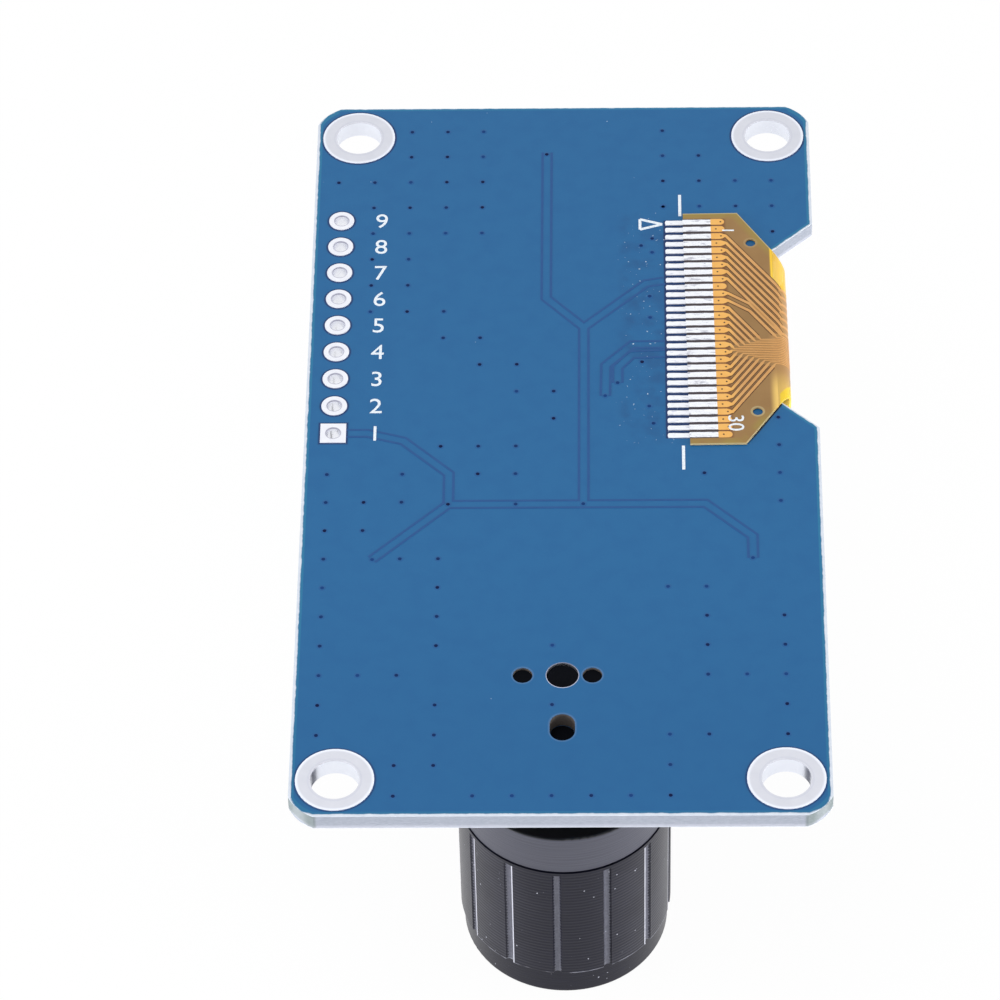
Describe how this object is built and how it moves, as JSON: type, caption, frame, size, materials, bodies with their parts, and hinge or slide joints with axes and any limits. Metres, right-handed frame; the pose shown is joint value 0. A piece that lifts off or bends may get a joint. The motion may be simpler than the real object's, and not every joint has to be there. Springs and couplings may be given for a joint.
{
  "type": "small display module with rotary encoder and buttons",
  "caption": "Blue circuit board with a folded-flex display panel, a push rotary encoder with a fluted knob, tactile buttons and plated header holes.",
  "frame": {"origin": "centre of the four mounting holes' rectangle, on the board's back face", "axes": "+Z out of the back face, away from the display and the knob; +Y along the board's length, from the knob's end to the display's end; +X towards the side where the flex folds round the board's edge"},
  "size_m": [0.0348, 0.065, 0.0251],
  "materials": {
    "board_blue": "blue solder mask over glass and resin board",
    "tin": "tinned copper",
    "tape_black": "double-sided foam tape",
    "display_glass": "clear display glass",
    "polariser_dark": "dark polarising film",
    "silicon": "bare driver chip",
    "flex_amber": "amber polyimide film with copper",
    "moulding_black": "black moulded plastic",
    "zinc": "die-cast zinc bushing and base plate",
    "steel": "bright stamped sheet",
    "spring_steel": "spring steel",
    "contact_brass": "spring brass contacts",
    "rotor_white": "white moulded plastic",
    "shaft_steel": "turned metal shaft",
    "knob_grey": "dark grey moulded plastic",
    "anodised_black": "black anodised, turned and fluted",
    "resistor_black": "coated ceramic",
    "capacitor_tan": "bare ceramic"
  },
  "bodies": {
    "board": {"circuit_board": "board_blue", "board_mount_plating": "tin", "board_header_plating": "tin", "encoder_hole_ring": "tin", "display_solder_pads": "tin", "display_tape": "tape_black", "display_rear_glass": "display_glass", "display_front_glass": "display_glass", "display_polariser": "polariser_dark", "display_driver_chip": "silicon", "display_flex": "flex_amber", "encoder_base": "moulding_black", "encoder_terminals": "tin", "encoder_bushing": "zinc", "encoder_bracket": "steel", "detent_spring": "spring_steel", "encoder_contacts": "contact_brass", "encoder_push_dome": "spring_steel", "left_button_base": "moulding_black", "left_button_cover": "steel", "left_button_terminals": "tin", "left_button_dome": "spring_steel", "right_button_base": "moulding_black", "right_button_cover": "steel", "right_button_terminals": "tin", "right_button_dome": "spring_steel", "chip_resistors": "resistor_black", "chip_resistor_caps": "tin", "chip_capacitors": "capacitor_tan", "chip_capacitor_caps": "tin", "voltage_regulator": "moulding_black", "regulator_leads": "tin"},
    "rotor": {"encoder_rotor": "rotor_white", "encoder_code_disc": "contact_brass"},
    "knob": {"encoder_shaft": "shaft_steel", "knob_insert": "knob_grey", "knob_shell": "anodised_black"},
    "left_button": {"left_button_plunger": "moulding_black"},
    "right_button": {"right_button_plunger": "moulding_black"}
  },
  "joints": [
    {"name": "encoder_turn", "type": "hinge", "parent": "board", "child": "rotor", "pos_m": [0.0001, -0.02073, 0], "axis": [0, 0, 1], "continuous": true, "deforming": ["detent_spring"]},
    {"name": "knob_push", "type": "slide", "parent": "rotor", "child": "knob", "axis": [0, 0, 1], "range_m": [0, 0.0005], "stiffness_N_per_m": 4000, "deforming": ["encoder_push_dome"]},
    {"name": "left_button_press", "type": "slide", "parent": "board", "child": "left_button", "axis": [0, 0, 1], "range_m": [0, 0.00025], "stiffness_N_per_m": 3000, "deforming": ["left_button_dome"]},
    {"name": "right_button_press", "type": "slide", "parent": "board", "child": "right_button", "axis": [0, 0, 1], "range_m": [0, 0.00025], "stiffness_N_per_m": 3000, "deforming": ["right_button_dome"]}
  ]
}
